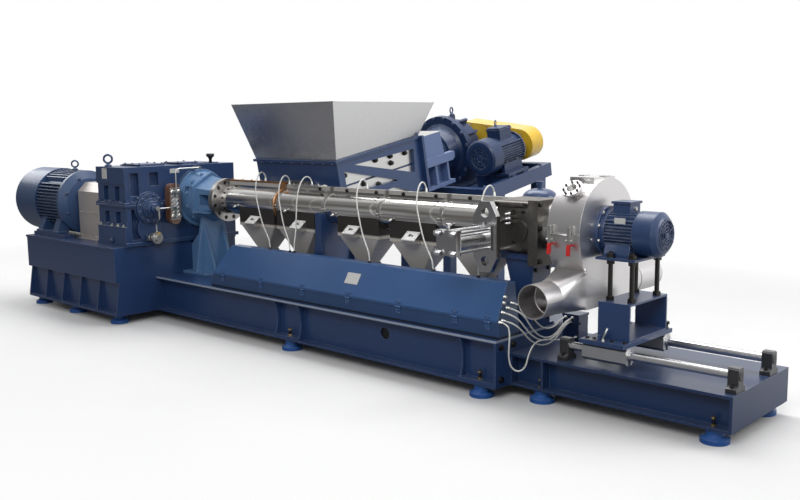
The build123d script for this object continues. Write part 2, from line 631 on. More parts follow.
with BuildPart() as blowers:
    for middle, reach in duct_places:
        fan_z = funnel_bottom_z - fan_radius - 6
        round_y(middle, (axis_y - fan_depth / 2, axis_y + fan_depth / 2), fan_z, fan_radius)
        round_y(middle, (axis_y - fan_depth / 2 - 8, axis_y + fan_depth / 2 + 8), fan_z, fan_radius - 30)
        round_y(middle, (axis_y + fan_depth / 2, axis_y + fan_depth / 2 + 110), fan_z, 58)
        block((middle - funnel_mouth / 2 - 5, middle + funnel_mouth / 2 + 5), (axis_y - funnel_mouth / 2 - 5,
              axis_y + funnel_mouth / 2 + 5), (funnel_bottom_z - 40, funnel_bottom_z))
        prism_y((axis_y - 50, axis_y + 50), ((middle - 90, bed_top_z), (middle - 40, fan_z), (middle + 40, fan_z),
                                             (middle + 90, bed_top_z)))
save(blowers, "blowers")

# Terminal boxes leaning out from the front of the collars, each with a pale lid
box_half = 58
box_lean = 62
box_low_z = 856
box_depth = 74
lid_t = 7
box_shifts = (-4, 74, -30, 24)
with BuildPart() as terminal_boxes:
    for (middle, reach), shift in zip(duct_places, box_shifts):
        front = axis_y - collar_half
        prism_x((middle + shift - box_half, middle + shift + box_half),
                ((front, box_low_z), (front, box_low_z + box_depth), (front - 8, box_low_z + box_depth),
                 (front - box_lean - 8, box_low_z + 26), (front - box_lean - 8, box_low_z)))
save(terminal_boxes, "terminal_boxes")

lid_slope = (box_depth - 26) / box_lean
with BuildPart() as terminal_lids:
    for (middle, reach), shift in zip(duct_places, box_shifts):
        front = axis_y - collar_half
        prism_x((middle + shift - box_half - 3, middle + shift + box_half + 3),
                ((front - 8, box_low_z + box_depth), (front - 8, box_low_z + box_depth + lid_t),
                 (front - box_lean - 12, box_low_z + 26 + lid_t - 4 * lid_slope),
                 (front - box_lean - 12, box_low_z + 26 - 4 * lid_slope)))
save(terminal_lids, "terminal_lids")

# Barrel support: an upright yoke round the barrel's lower half, its front leg flaring to a foot
yoke_t = 60
yoke_half = 168
yoke_top = 22
with BuildPart() as barrel_support:
    prism_x((support_x - yoke_t / 2, support_x + yoke_t / 2),
            ((axis_y - yoke_half, bed_top_z + plate_t), (axis_y - yoke_half, barrel_axis_z - yoke_top),
             (axis_y + yoke_half, barrel_axis_z - yoke_top), (axis_y + yoke_half, bed_top_z + plate_t)))
    round_x((support_x - yoke_t, support_x + yoke_t), axis_y, barrel_axis_z, band_radius + seat_clearance, Mode.SUBTRACT)
    for side in (-1, 1):
        near, far = sorted((axis_y + side * yoke_half, axis_y + side * (yoke_half - 24)))
        with BuildSketch(Plane.XZ.offset(-far)) as flared_leg:
            with BuildLine():
                leg_left = Spline((support_x - 120, bed_top_z + plate_t), (support_x - 78, bed_top_z + 210),
                                  (support_x - yoke_t / 2, bed_top_z + 420))
                leg_right = Spline((support_x + 130, bed_top_z + plate_t), (support_x + 84, bed_top_z + 210),
                                   (support_x + yoke_t / 2, bed_top_z + 420))
                Line(leg_left @ 1, leg_right @ 1)
                Line(leg_left @ 0, leg_right @ 0)
            make_face()
        extrude(flared_leg.sketch, amount=far - near)
    block((support_x - 130, support_x + 140), (axis_y - yoke_half - 10, axis_y + yoke_half + 10),
          (bed_top_z, bed_top_z + plate_t))

# Wiring trough along the operator's side: an upright tray with slanted ends under a folded lid
trough_front = 430
trough_tray_height = 112
trough_slope = 130
trough_top_z = 705
trough_back = 210
trough_start = 745
trough_end_gap = 7
trough_slants = (122, 38)
lid_lap = 5
trough_x = (bed_start + trough_start, bed_end - trough_end_gap)
trough_face_y = axis_y - trough_front
tray_top_z = bed_top_z + trough_tray_height
trough_back_y = trough_face_y + trough_back
trough_rise = trough_top_z - bed_top_z


def trough_ends(reach):
    """Slants both ends of the trough, leaning in towards the top."""
    for foot, lean in ((trough_x[0], trough_slants[0]), (trough_x[1], -trough_slants[1])):
        away = -400 if lean > 0 else 400
        prism_y((trough_face_y - 2 * reach, trough_back_y + 2 * reach),
                ((foot, bed_top_z), (foot + lean * 1.2, bed_top_z + trough_rise * 1.2),
                 (foot + away, bed_top_z + trough_rise * 1.2), (foot + away, bed_top_z)), Mode.SUBTRACT)


with BuildPart() as wiring_trough:
    prism_x(trough_x, ((trough_face_y, bed_top_z), (trough_face_y, tray_top_z),
                       (trough_face_y + trough_slope, trough_top_z - 8), (trough_back_y, trough_top_z - 8),
                       (trough_back_y, bed_top_z)))
    trough_ends(50)
save(wiring_trough, "wiring_trough")

with BuildPart() as trough_lid:
    prism_x(trough_x, ((trough_face_y - lid_lap, tray_top_z - 14), (trough_face_y - lid_lap, tray_top_z + 1),
                       (trough_face_y + trough_slope - 2, trough_top_z), (trough_back_y, trough_top_z),
                       (trough_back_y, trough_top_z - 8), (trough_face_y + trough_slope, trough_top_z - 8),
                       (trough_face_y, tray_top_z), (trough_face_y, tray_top_z - 14)))
    trough_ends(50)
save(trough_lid, "trough_lid")

# Screen changer: a heavy body across the barrel end, a clamp plate, a slide bar along its top edge
changer_z = (868, 1200)
changer_half = 150
changer_plate_half = 172
changer_plate_low_z = 800
slide_bar_radius = 20
changer_x = (barrel_end, barrel_end + changer_body_length)
changer_plate_x = (changer_x[1], changer_x[1] + changer_plate_t)
changer_front = axis_y - changer_half
with BuildPart() as screen_changer:
    block(changer_x, (changer_front, axis_y + changer_half), changer_z)
    edges_along_x = screen_changer.edges().filter_by(Axis.X)
    chamfer(edges_along_x, 14)
    block(changer_plate_x, (axis_y - changer_plate_half, axis_y + changer_plate_half),
          (changer_plate_low_z, changer_z[1] + 6))
    round_x((changer_x[0] - 10, changer_plate_x[0]), changer_front - 6, changer_z[1] - 26, slide_bar_radius)
    round_y(changer_x[0] + 165, (changer_front - 12, changer_front), 1010, 70)
    for stud_z in (1120, 1090, 1060):
        round_y(changer_x[0] + 132, (changer_front - 46, changer_front), stud_z, 9)
save(screen_changer, "screen_changer")

# Screen changer drive: an eight-sided plate standing off the body on rods, a cylinder in front of it
slide_offset = 48
slide_z = 982
slide_half = 88
slide_half_height = 220
slide_corner = (48, 90)
slide_gap = 150
slide_plate_t = 40
slide_hole_radius = 30
slide_hole_spread = 150
slide_rod_radius = 18
slide_rod_spread = 90
slide_rod_gauge = 28
slide_x = barrel_end + slide_offset
slide_plate_y = (changer_front - slide_gap - slide_plate_t, changer_front - slide_gap)
with BuildPart() as slide_plate:
    with BuildSketch(Plane.XZ.offset(-slide_plate_y[1])) as plate_shape:
        with Locations((slide_x, slide_z)):
            Rectangle(2 * slide_half, 2 * (slide_half_height - slide_corner[1]))
            Rectangle(2 * (slide_half - slide_corner[0]), 2 * slide_half_height)
        make_hull()
        with Locations((slide_x, slide_z)):
            with GridLocations(0, 2 * slide_hole_spread, 1, 2):
                Circle(slide_hole_radius, mode=Mode.SUBTRACT)
    extrude(plate_shape.sketch, amount=slide_plate_t)
    for side in (-1, 1):
        for level in (-1, 1):
            round_y(slide_x + side * slide_rod_gauge, (slide_plate_y[1], changer_front),
                    slide_z + level * slide_rod_spread, slide_rod_radius)

cylinder_length = 370
cylinder_radius = 58
cylinder_head = 76
head_t = 40
tie_rod_radius = 9
tie_rod_spread = 58
cylinder_y = (slide_plate_y[0] - cylinder_length, slide_plate_y[0])
with BuildPart() as slide_cylinder:
    round_y(slide_x, cylinder_y, slide_z, cylinder_radius)
    for start in (cylinder_y[0], cylinder_y[1] - head_t):
        block((slide_x - cylinder_head, slide_x + cylinder_head), (start, start + head_t),
              (slide_z - cylinder_head, slide_z + cylinder_head))
    for side in (-1, 1):
        for level in (-1, 1):
            round_y(slide_x + side * tie_rod_spread, (cylinder_y[0] - 14, cylinder_y[1]),
                    slide_z + level * tie_rod_spread, tie_rod_radius)
            round_y(slide_x + side * tie_rod_spread, (cylinder_y[0] - 10, cylinder_y[0]),
                    slide_z + level * tie_rod_spread, tie_rod_radius + 6)
    round_z(slide_x, cylinder_y[0] + head_t / 2, (slide_z + cylinder_head, slide_z + cylinder_head + 16), 13)
    round_z(slide_x, cylinder_y[1] - head_t / 2, (slide_z + cylinder_head, slide_z + cylinder_head + 16), 13)

with BuildPart() as slide_drive:
    add(slide_plate.part)
    add(slide_cylinder.part)
save(slide_drive, "slide_drive")

# Die head: a stepped round body reaching into the hood, and the pedestal under the screen changer
die_reach = 179
die_radius = 150
die_face_radius = 118
die_x = (changer_plate_x[1], changer_plate_x[1] + die_reach)
with BuildPart() as die_head:
    turned_x(axis_y, barrel_axis_z, ((die_x[0], die_radius), (die_x[1] - 64, die_radius), (die_x[1] - 58, die_face_radius + 14),
                                     (die_x[1] - 12, die_face_radius + 14), (die_x[1], die_face_radius)))
save(die_head, "die_head")

pedestal_half = 100
pedestal_length = 170
with BuildPart() as die_support:
    block((barrel_end + 6, changer_x[1]), (axis_y - pedestal_half - 20, axis_y + pedestal_half + 20),
          (changer_z[0] - 44, changer_z[0]))
    prism_y((axis_y - pedestal_half, axis_y + pedestal_half),
            ((bed_end - pedestal_length, bed_top_z), (bed_end - pedestal_length, 690),
             (barrel_end + 30, changer_z[0] - 44), (changer_x[1], changer_z[0] - 44), (bed_end, 690),
             (bed_end, bed_top_z)))
    block((bed_end - pedestal_length - 50, bed_end), (axis_y - pedestal_half - 50, axis_y + pedestal_half + 50),
          (bed_top_z, bed_top_z + plate_t))

with BuildPart() as barrel_supports:
    add(barrel_support.part)
    add(die_support.part)
save(barrel_supports, "barrel_supports")

# Oil reservoir with a domed top and a filler valve, behind the screen changer
reservoir_setback = 302
reservoir_offset = 420
reservoir_radius = 122
reservoir_top_z = 1232
reservoir_low_z = 700
reservoir_x = bed_end - reservoir_setback
reservoir_y = axis_y + reservoir_offset
with BuildPart() as oil_reservoir:
    with BuildSketch(Plane.XZ.offset(-reservoir_y)) as reservoir_half:
        with BuildLine():
            Polyline((reservoir_x, reservoir_low_z), (reservoir_x + reservoir_radius, reservoir_low_z),
                     (reservoir_x + reservoir_radius, reservoir_top_z - 88))
            Spline((reservoir_x + reservoir_radius, reservoir_top_z - 88), (reservoir_x, reservoir_top_z),
                   tangents=((0, 1), (-1, 0)))
            Line((reservoir_x, reservoir_top_z), (reservoir_x, reservoir_low_z))
        make_face()
    revolve(reservoir_half.sketch, axis=Axis((reservoir_x, reservoir_y, 0), (0, 0, 1)))
    round_z(reservoir_x, reservoir_y, (reservoir_top_z - 4, reservoir_top_z + 22), 18)
    round_z(reservoir_x, reservoir_y, (reservoir_top_z + 22, reservoir_top_z + 48), 26)
    block((reservoir_x - 60, reservoir_x + 60), (bed_y[1] - 110, bed_y[1]), (bed_top_z, reservoir_low_z))
    block((reservoir_x - 90, reservoir_x + 90), (bed_y[1] - 140, bed_y[1]), (bed_top_z, bed_top_z + 14))
save(oil_reservoir, "oil_reservoir")

# Side feeder: all of it lies along a plane that rises away from the barrel
feeder_plane = Plane(origin=(feed_x, axis_y, barrel_axis_z), x_dir=(0, run, rise), z_dir=(1, 0, 0))
feeder_start = 188
feeder_length = 977
feeder_half = 500
feeder_top_v = 327
feeder_low_v = -140
feeder_trough_v = 110
feeder_trough_half = 200
feeder_plate_t = 20
feeder_chord = 20
feeder_u = (feeder_start, feeder_start + feeder_length)
feeder_end_u = feeder_u[1] + 25


def tilt_block(u, v, w, mode=Mode.ADD):
    """A rectangular solid in the feeder's directions: along its slope, square to it, and across."""
    middle = Location(((u[0] + u[1]) / 2, (v[0] + v[1]) / 2, (w[0] + w[1]) / 2))
    with Locations(feeder_plane.location * middle):
        Box(u[1] - u[0], v[1] - v[0], w[1] - w[0], mode=mode)


def tilt_plate(w, points, mode=Mode.ADD):
    """A plate across the feeder whose outline is given along and square to the slope."""
    with BuildSketch(feeder_plane.offset(w[0])) as outline:
        with BuildLine():
            Polyline(*points, close=True)
        make_face()
    extrude(outline.sketch, amount=w[1] - w[0], mode=mode)


def tilt_turned(v, w, points, mode=Mode.ADD):
    """A turned solid along the feeder's slope, from its corners along the slope and out from its axis."""
    with BuildSketch(feeder_plane.offset(w)) as half:
        with BuildLine():
            Polyline((points[0][0], v), *[(u, v + radius) for u, radius in points], (points[-1][0], v), close=True)
        make_face()
    revolve(half.sketch, axis=Axis(feeder_plane.from_local_coords((0, v, w)), feeder_plane.x_dir), mode=mode)


with BuildPart() as feeder_body:
    tilt_block(feeder_u, (feeder_low_v, feeder_trough_v), (-feeder_trough_half, feeder_trough_half))
    tilt_block(feeder_u, (feeder_trough_v - 16, feeder_trough_v), (40 - feeder_half, feeder_half - 40))
    tilt_block((feeder_u[0], feeder_u[0] + feeder_plate_t), (feeder_low_v, feeder_top_v), (-feeder_half, feeder_half))
    tilt_block((feeder_u[1], feeder_end_u), (feeder_low_v, feeder_top_v), (-feeder_half - 42, feeder_half + 42))
    tilt_block((feeder_u[0] - 22, feeder_u[0] + 60), (feeder_top_v - feeder_chord, feeder_top_v),
               (-feeder_half - 16, feeder_half + 16))
    tilt_block((feeder_u[1] - 60, feeder_u[1]), (feeder_top_v - feeder_chord, feeder_top_v), (-feeder_half, feeder_half))
    for side in (-1, 1):
        across = sorted((side * (feeder_half + 16), side * (feeder_half - 60)))
        tilt_block((feeder_u[0] - 22, feeder_u[1]), (feeder_top_v - feeder_chord, feeder_top_v), across)
    block((feed_x - 150, feed_x + 150), (feed_flange_y[1], feed_flange_y[1] + 90),
          (barrel_axis_z - 112, barrel_axis_z + 112))
save(feeder_body, "feeder_body")

# Feeder sides: plate frames with triangular cut-outs over a steel panel
side_plate_t = 32
side_panel_t = 8
side_top_v = feeder_top_v - feeder_chord
side_u = (feeder_u[0] + feeder_plate_t, feeder_u[1])
side_length = side_u[1] - side_u[0]
side_windows = (((0.18, 0.88), (0.92, 0.83), (0.90, 0.38)), ((0.05, 0.82), (0.68, 0.34), (0.05, 0.42)),
                ((0.10, 0.20), (0.62, 0.24), (0.80, 0.06), (0.10, 0.06)))
with BuildPart() as feeder_sides:
    for side in (-1, 1):
        across = sorted((side * feeder_half, side * (feeder_half - side_plate_t)))
        tilt_plate(across, ((side_u[0], feeder_low_v), (side_u[1], feeder_low_v), (side_u[1], side_top_v),
                            (side_u[0], side_top_v)))
        for window in side_windows:
            corners = [(side_u[0] + along * side_length, feeder_low_v + up * (side_top_v - feeder_low_v))
                       for along, up in window]
            tilt_plate(across, corners, Mode.SUBTRACT)
save(feeder_sides, "feeder_sides")

with BuildPart() as feeder_panels:
    for side in (-1, 1):
        across = sorted((side * (feeder_half - side_plate_t), side * (feeder_half - side_plate_t - side_panel_t)))
        tilt_block(side_u, (feeder_trough_v, side_top_v), across)
        tilt_block(side_u, (feeder_low_v + 4, feeder_trough_v - 16), across)
save(feeder_panels, "feeder_panels")

# Hopper: four sheet walls flaring up from the feeder to a level rim
hopper_rim_z = 1850
hopper_low = 630
hopper_high = 630
hopper_front = 20
hopper_rear = 1150
hopper_rim_width = 34
hopper_mouth = Plane(origin=feeder_plane.from_local_coords(((feeder_u[0] + feeder_u[1]) / 2, feeder_top_v, 0)),
                     x_dir=(1, 0, 0), z_dir=(0, -rise, run))
hopper_middle_y = axis_y + (hopper_rear - hopper_front) / 2
with BuildPart() as feeder_hopper:
    for inset, mode in ((0, Mode.ADD), (sheet_t, Mode.SUBTRACT)):
        with BuildSketch(hopper_mouth) as mouth:
            Rectangle(2 * (feeder_half - inset), feeder_length - 2 * inset)
        with BuildSketch(Plane.XY.offset(hopper_rim_z)) as rim:
            with Locations((feed_x, hopper_middle_y)):
                Rectangle(hopper_low + hopper_high - 2 * inset, hopper_rear + hopper_front - 2 * inset)
        loft([mouth.sketch, rim.sketch], ruled=True, mode=mode)
save(feeder_hopper, "feeder_hopper")

# Feeder link: a stepped bracket that carries the feeder's barrel on to the gear reducer
link_half = 250
link_reach = 330
link_foot_reach = 400
link_top_depth = 217
link_ledge = 50
link_wall = 24
neck_radius = 120
link_u = (feeder_end_u, feeder_end_u + link_reach)
link_step_v = feeder_top_v - link_top_depth
reducer_start = 1900
with BuildPart() as feeder_link:
    tilt_turned(0, 0, ((feeder_end_u, neck_radius), (reducer_start - 60, neck_radius), (reducer_start - 60, 170),
                       (reducer_start - 30, 170)))
    for side in (-1, 1):
        across = sorted((side * link_half, side * (link_half - link_wall)))
        tilt_plate(across, ((link_u[0], link_step_v), (link_u[0], feeder_top_v - 10), (link_u[0] + 235, feeder_top_v - 10),
                            (link_u[0] + 250, link_step_v)))
        tilt_block((link_u[0], link_u[1] + 30), (link_step_v - link_ledge, link_step_v),
                   sorted((side * (link_half + 30), side * (link_half - 60))))
        for start in (link_u[0] + 120, link_u[1] - link_wall):
            tilt_block((start, start + link_wall), (feeder_low_v, link_step_v - link_ledge),
                       sorted((side * (link_half + 20), side * (link_half - 70))))
        tilt_plate(sorted((side * (link_half - 46), side * (link_half - 70))),
                   ((link_u[0], feeder_low_v), (link_u[0], link_step_v - link_ledge),
                    (link_u[1], link_step_v - link_ledge), (link_u[1], feeder_low_v)))
    tilt_block((link_u[0], link_u[0] + 235), (feeder_top_v - 10 - link_wall, feeder_top_v - 10), (-link_half, link_half))
    tilt_block((link_u[0], link_u[1]), (link_step_v - link_ledge, link_step_v), (-link_half, link_half))
    tilt_block((link_u[0], feeder_end_u + link_foot_reach), (feeder_low_v - 30, feeder_low_v),
               (-link_half - 40, link_half + 40))
save(feeder_link, "feeder_link")

# Places up the slope of the reducer, of the belt guard past it, and of the motor whose shaft ends in the guard
reducer_u = (reducer_start, reducer_start + 150, reducer_start + 190, reducer_start + 430, reducer_start + 500)
guard_setback = 40
small_cowl_length = 150
small_frame_length = 330
motor_shaft_reach = 144
motor_bar = 60
guard_start_u = reducer_u[4] + guard_setback
motor_end_u = guard_start_u - motor_shaft_reach
motor_u = (motor_end_u - small_frame_length - small_cowl_length, motor_end_u - small_frame_length, motor_end_u)
motor_bars_u = (motor_u[1] + 74, motor_u[2] - 80)

# Inclined base under the feeder's drive: side beams, end beams and a floor
feeder_base_start = 1560
feeder_base_depth = 125
feeder_base_left = 380
feeder_base_right = 820
feeder_beam = 60
feeder_floor_t = 10
base_u = (feeder_base_start, feeder_reach)
base_v = (-feeder_base_under, -feeder_base_under + feeder_base_depth)
base_w = (-feeder_base_left, feeder_base_right)
floor_v = base_v[0] + feeder_floor_t
motor_w = 620
feeder_motor_v = -19
with BuildPart() as feeder_drive_base:
    tilt_block(base_u, base_v, base_w)
    tilt_block((base_u[0] + feeder_beam, base_u[1] - feeder_beam), (floor_v, base_v[1] + 1),
               (base_w[0] + feeder_beam, base_w[1] - feeder_beam), Mode.SUBTRACT)
    for start in motor_bars_u:
        tilt_block((start, start + motor_bar), (floor_v, base_v[1]), (motor_w - 240, base_w[1] - feeder_beam))
    tilt_block((base_u[0], base_u[0] + feeder_beam), (base_v[1], feeder_low_v - 30), (-180, 180))
    tilt_block((base_u[0] + feeder_beam, base_u[0] + 170), (base_v[0], base_v[1]), (-40, 40))

# Feeder reducer: a round gear case with a wide flange and ribs, on a foot between the base's beams
reducer_flange_radius = 334
reducer_case_radius = 300
reducer_rib_count = 12
with BuildPart() as feeder_reducer:
    tilt_turned(0, 0, ((reducer_start - 30, 176), (reducer_start - 12, 176), (reducer_start, 205),
                       (reducer_u[1] - 46, 236), (reducer_u[1] - 20, 262), (reducer_u[1] - 20, reducer_flange_radius),
                       (reducer_u[2], reducer_flange_radius), (reducer_u[2] + 4, reducer_case_radius - 30),
                       (reducer_u[3] - 40, reducer_case_radius - 40), (reducer_u[3], 200), (reducer_u[4], 150)))
    with BuildSketch(Plane(feeder_plane.from_local_coords((reducer_u[2], 0, 0)), x_dir=(1, 0, 0),
                           z_dir=feeder_plane.x_dir)) as ribs:
        with PolarLocations(reducer_case_radius - 24, reducer_rib_count):
            Rectangle(70, 26)
    extrude(ribs.sketch, amount=reducer_u[3] - reducer_u[2] - 60)
    tilt_block((reducer_u[1] - 20, reducer_u[3] - 30), (floor_v, -180), (-170, 170))
    tilt_block((reducer_u[1] - 60, reducer_u[3] + 10), (floor_v, floor_v + 22), (-270, 270))
    tilt_turned(0, 0, ((reducer_u[4], 46), (guard_start_u, 46)))
save(feeder_reducer, "feeder_reducer")

# Feeder motor beside the reducer, fan end towards the barrel, on a foot plate across the base
small_cowl_radius = 165
small_motor_radius = 138
small_tip_radius = 156
with BuildPart() as feeder_motor:
    tilt_turned(feeder_motor_v, motor_w, ((motor_u[0], small_cowl_radius - 40), (motor_u[0] + 4, small_cowl_radius - 16),
                                          (motor_u[0] + 20, small_cowl_radius), (motor_u[1], small_cowl_radius)))
    tilt_turned(feeder_motor_v, motor_w, ((motor_u[2], small_cowl_radius - 4), (motor_u[2] + 20, small_cowl_radius - 8),
                                          (motor_u[2] + 60, small_cowl_radius - 40), (motor_u[2] + 70, 60)))
    tilt_turned(feeder_motor_v, motor_w, ((motor_u[0] - 1, small_cowl_radius - 66),
                                          (motor_u[0] + 8, small_cowl_radius - 66)), Mode.SUBTRACT)
    with BuildSketch(Plane(feeder_plane.from_local_coords((motor_u[1], feeder_motor_v, motor_w)), x_dir=(1, 0, 0),
                           z_dir=feeder_plane.x_dir)) as small_fins:
        with GridLocations(0, 2 * 0.55 * small_tip_radius / 8, 1, 9):
            Rectangle(2 * small_tip_radius, 6)
        Circle(small_tip_radius, mode=Mode.INTERSECT)
        Circle(small_motor_radius)
    extrude(small_fins.sketch, amount=motor_u[2] - motor_u[1])
    tilt_block((motor_u[1] + 90, motor_u[1] + 260), (feeder_motor_v + 110, feeder_motor_v + 232), (motor_w - 74, motor_w + 74))
    tilt_block((motor_u[1] + 84, motor_u[1] + 266), (feeder_motor_v + 206, feeder_motor_v + 218), (motor_w - 82, motor_w + 82))
    for side in (-1, 1):
        tilt_block((motor_u[1] + 40, motor_u[2] - 20), (base_v[1] + 16, feeder_motor_v - 90),
                   sorted((motor_w + side * 90, motor_w + side * 128)))
    tilt_block((motor_u[1] + 20, motor_u[2]), (base_v[1] + 16, base_v[1] + 40), (motor_w - 180, motor_w + 180))
    for start in motor_bars_u:
        tilt_block((start, start + motor_bar), (base_v[1], base_v[1] + 16), (motor_w - 200, motor_w + 180))
save(feeder_motor, "feeder_motor")

# Belt guard joining the reducer's and the motor's pulleys at the far end
guard_u = (guard_start_u, feeder_reach - 20)
guard_large = 205
guard_small = 150
with BuildPart() as belt_guard:
    with BuildSketch(Plane(feeder_plane.from_local_coords((guard_u[0], 0, 0)), x_dir=(1, 0, 0),
                           z_dir=feeder_plane.x_dir)) as belt_shape:
        Circle(guard_large)
        with Locations((motor_w, -feeder_motor_v)):
            Circle(guard_small)
        make_hull()
    extrude(belt_shape.sketch, amount=guard_u[1] - guard_u[0])
    tilt_turned(feeder_motor_v, motor_w, ((motor_u[2] + 70, 40), (guard_u[0], 40)))
save(belt_guard, "belt_guard")

# Feeder stand: four legs from the floor up to the inclined base, tied near the floor
stand_leg = 100
stand_pad = 100
stand_pad_t = 20
with BuildPart() as feeder_stand:
    for leg_w in (base_w[0] + stand_leg / 2, base_w[1] - stand_leg / 2):
        for leg_u in (base_u[0] + 260, base_u[1] - 160):
            foot = feeder_plane.from_local_coords((leg_u, base_v[0], leg_w))
            block((foot.X - stand_leg / 2, foot.X + stand_leg / 2), (foot.Y - stand_leg / 2, foot.Y + stand_leg / 2),
                  (stand_pad_t, foot.Z + 60))
            block((foot.X - stand_pad, foot.X + stand_pad), (foot.Y - stand_pad, foot.Y + stand_pad), (0, stand_pad_t))
    tilt_block((base_u[0] - 400, base_u[1] + 400), (base_v[0], base_v[1] + 200), (base_w[0] - 200, base_w[1] + 200),
               Mode.SUBTRACT)
    add(feeder_drive_base.part)
save(feeder_stand, "feeder_stand")

# Guide rails along the pelletiser base, each held by a clamp block at both ends
rail_radius = 25
rail_height = 86
rail_half_gauge = 225
rail_start_inset = 309
rail_end_inset = 5
block_length = 60
block_half = 32
block_foot_half = 56
block_head = 45
rail_z = pellet_top_z + rail_height
rail_x = (bed_end + rail_start_inset, pellet_end - rail_end_inset)
with BuildPart() as guide_rails:
    for side in (-rail_half_gauge, rail_half_gauge):
        round_x(rail_x, axis_y + side, rail_z, rail_radius)
save(guide_rails, "guide_rails")

with BuildPart() as rail_blocks:
    for side in (-rail_half_gauge, rail_half_gauge):
        rail_y = axis_y + side
        for start in (rail_x[0], rail_x[1] - block_length):
            prism_x((start, start + block_length),
                    ((rail_y - block_foot_half, pellet_top_z), (rail_y - block_foot_half, pellet_top_z + 24),
                     (rail_y - block_half, pellet_top_z + 36), (rail_y - block_half, rail_z + block_head - 10),
                     (rail_y - block_half + 10, rail_z + block_head), (rail_y + block_half - 10, rail_z + block_head),
                     (rail_y + block_half, rail_z + block_head - 10), (rail_y + block_half, pellet_top_z + 36),
                     (rail_y + block_foot_half, pellet_top_z + 24), (rail_y + block_foot_half, pellet_top_z)))
        round_x((rail_x[0] - 1, rail_x[1] + 1), rail_y, rail_z, rail_radius, Mode.SUBTRACT)
save(rail_blocks, "rail_blocks")

# Hood position along the die, which sets the carriage that carries it
hood_entry = 15
hood_depth = 220
hood_x = (die_x[1] - hood_entry, die_x[1] - hood_entry + hood_depth)
carriage_length = 284
carriage_start = 1
carriage_x = (hood_x[1] + carriage_start, hood_x[1] + carriage_start + carriage_length)

# Carriage: open bearings gripping the rails, under a cross plate
bearing_half = 45
bearing_under = 56
bearing_over = 47
bearing_slot_half = 15
carriage_plate_t = 25
carriage_front = 300
carriage_rear = 290
carriage_plate_z = (rail_z + bearing_over, rail_z + bearing_over + carriage_plate_t)
with BuildPart() as carriage_bearings:
    for side in (-rail_half_gauge, rail_half_gauge):
        rail_y = axis_y + side
        with BuildSketch(Plane.YZ.offset(carriage_x[0])) as bearing_shape:
            with Locations((rail_y, rail_z + (bearing_over - bearing_under) / 2)):
                Rectangle(2 * bearing_half, bearing_over + bearing_under)
            chamfer(bearing_shape.vertices().group_by(Axis.Z)[0], 18)
            with Locations((rail_y, rail_z)):
                Circle(rail_radius + running_clearance, mode=Mode.SUBTRACT)
            with Locations((rail_y, rail_z - bearing_under)):
                Rectangle(2 * bearing_slot_half, 2 * bearing_under, mode=Mode.SUBTRACT)
        extrude(bearing_shape.sketch, amount=carriage_length)
save(carriage_bearings, "carriage_bearings")

clamp_post = 34
with BuildPart() as carriage_plate:
    block(carriage_x, (axis_y - carriage_front, axis_y + carriage_rear), carriage_plate_z)
    clamp_y = axis_y - carriage_front + 22
    round_z(carriage_x[0] + 118, clamp_y, (carriage_plate_z[1], carriage_plate_z[1] + clamp_post), 10)

# Box stand, open along X, with four threaded rods up to the motor plate
stand_setback = 77
stand_length = 202
stand_half = 225
stand_wall = 12
box_height = 219
box_x = (hood_x[1] + stand_setback, hood_x[1] + stand_setback + stand_length)
box_z = (carriage_plate_z[1], carriage_plate_z[1] + box_height)
with BuildPart() as box_stand:
    block(box_x, (axis_y - stand_half, axis_y + stand_half), box_z)
    block((box_x[0] - 1, box_x[1] + 1), (axis_y - stand_half + stand_wall, axis_y + stand_half - stand_wall),
          (box_z[0] + stand_wall, box_z[1] - stand_wall), Mode.SUBTRACT)

pellet_motor_drop = 132
motor_plate_t = 14
rod_radius = 14
rod_inset = 32
rod_half_gauge = 150
nut_radius = 26
nut_t = 22
motor_plate_z = (barrel_axis_z - pellet_motor_drop - motor_plate_t, barrel_axis_z - pellet_motor_drop)
rod_x = (box_x[0] + rod_inset, box_x[1] - rod_inset)
with BuildPart() as threaded_rods:
    for x in rod_x:
        for y in (axis_y - rod_half_gauge, axis_y + rod_half_gauge):
            round_z(x, y, (box_z[1], motor_plate_z[0]), rod_radius)
    for level in (box_z[1], motor_plate_z[0] - nut_t):
        with BuildSketch(Plane.XY.offset(level)) as nuts:
            with Locations(*[(x, y) for x in rod_x for y in (axis_y - rod_half_gauge, axis_y + rod_half_gauge)]):
                RegularPolygon(nut_radius, 6)
        extrude(nuts.sketch, amount=nut_t)
save(threaded_rods, "threaded_rods")

with BuildPart() as motor_plate:
    block((box_x[0] - 50, box_x[1]), (axis_y - rod_half_gauge - 32, axis_y + rod_half_gauge + 32), motor_plate_z)

with BuildPart() as carriage_frame:
    add(carriage_plate.part)
    add(box_stand.part)
    add(motor_plate.part)
save(carriage_frame, "carriage_frame")

